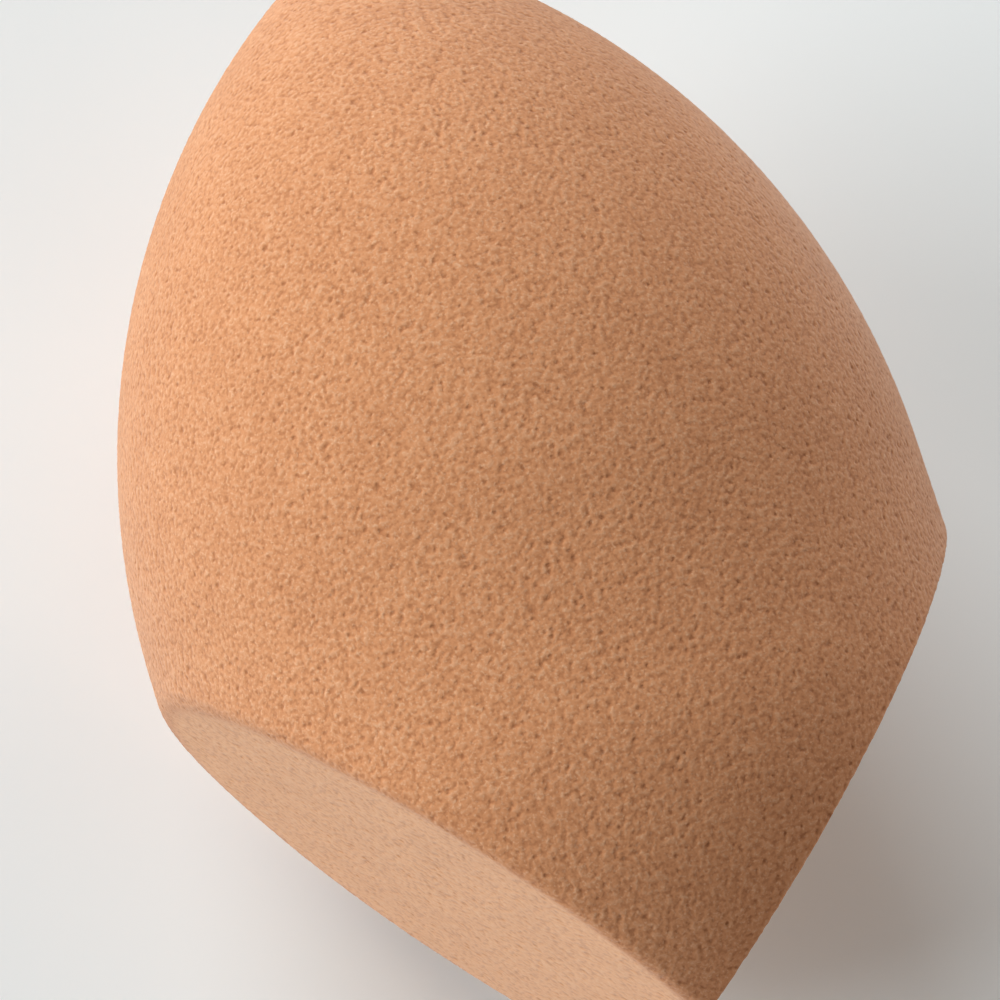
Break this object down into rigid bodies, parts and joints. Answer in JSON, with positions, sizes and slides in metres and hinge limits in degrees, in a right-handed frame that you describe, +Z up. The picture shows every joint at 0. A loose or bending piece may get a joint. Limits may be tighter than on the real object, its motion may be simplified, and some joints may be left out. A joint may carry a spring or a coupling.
{
  "type": "makeup sponge",
  "caption": "Soft foam makeup sponge with a rounded pointed tip, a round belly and a flat-faced wedge end; the tip and the wedge edge press in and spring back.",
  "frame": {"origin": "under the middle of the sponge's length, on the surface that it lies on", "axes": "+Y along the sponge's axis towards its pointed tip, +X to the right across the belly, +Z up along the wedge's ridge"},
  "size_m": [0.042, 0.06, 0.0415],
  "materials": {
    "foam": "matte open-cell foam, finely pitted on the moulded surface and smoother on the cut faces"
  },
  "bodies": {
    "belly": {"round_belly": "foam", "soft_shoulder": "foam", "soft_wedge": "foam"},
    "tip": {"pointed_tip": "foam"},
    "edge": {"wedge_edge": "foam"}
  },
  "joints": [
    {"name": "tip_press", "type": "slide", "parent": "belly", "child": "tip", "axis": [0, -1, 0], "range_m": [0, 0.01], "stiffness_N_per_m": 250, "deforming": ["soft_shoulder"]},
    {"name": "edge_press", "type": "slide", "parent": "belly", "child": "edge", "axis": [0, 1, 0], "range_m": [0, 0.006], "stiffness_N_per_m": 400, "deforming": ["soft_wedge"]}
  ]
}
